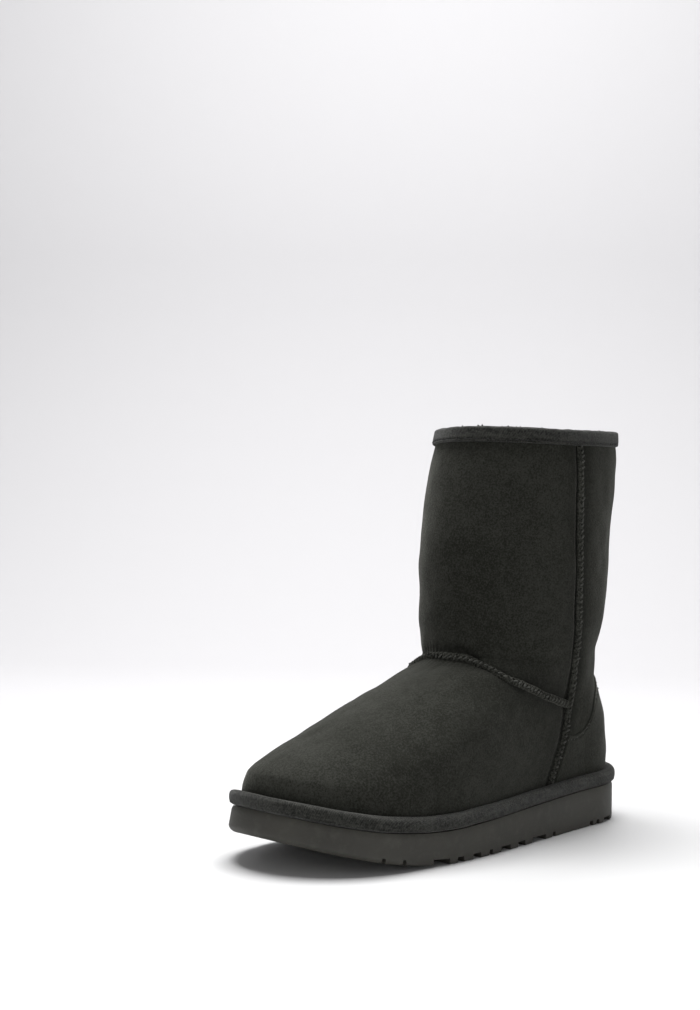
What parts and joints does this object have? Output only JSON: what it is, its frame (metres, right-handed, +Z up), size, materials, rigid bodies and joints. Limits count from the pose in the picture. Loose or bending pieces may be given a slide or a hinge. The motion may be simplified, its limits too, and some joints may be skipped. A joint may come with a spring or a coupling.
{
  "type": "sheepskin ankle boot",
  "caption": "Pull-on sheepskin ankle boot for the left foot: soft hollow upper with raised seams, padded welt, heel patch, bound collar and a grooved foam outsole.",
  "frame": {"origin": "on the floor, in the middle of the boot's plan", "axes": "+X to the toe, +Y to the wearer's left, which is the boot's outer side, +Z up"},
  "size_m": [0.2782, 0.1072, 0.2387],
  "materials": {
    "suede": "napped suede",
    "tape": "ribbed woven tape",
    "sole_foam": "matt moulded foam rubber",
    "fleece": "curly wool pile"
  },
  "bodies": {
    "root": {"outsole": "sole_foam", "insole": "fleece", "upper": "suede", "heel_counter": "suede", "welt": "tape", "collar_binding": "tape"}
  },
  "joints": []
}
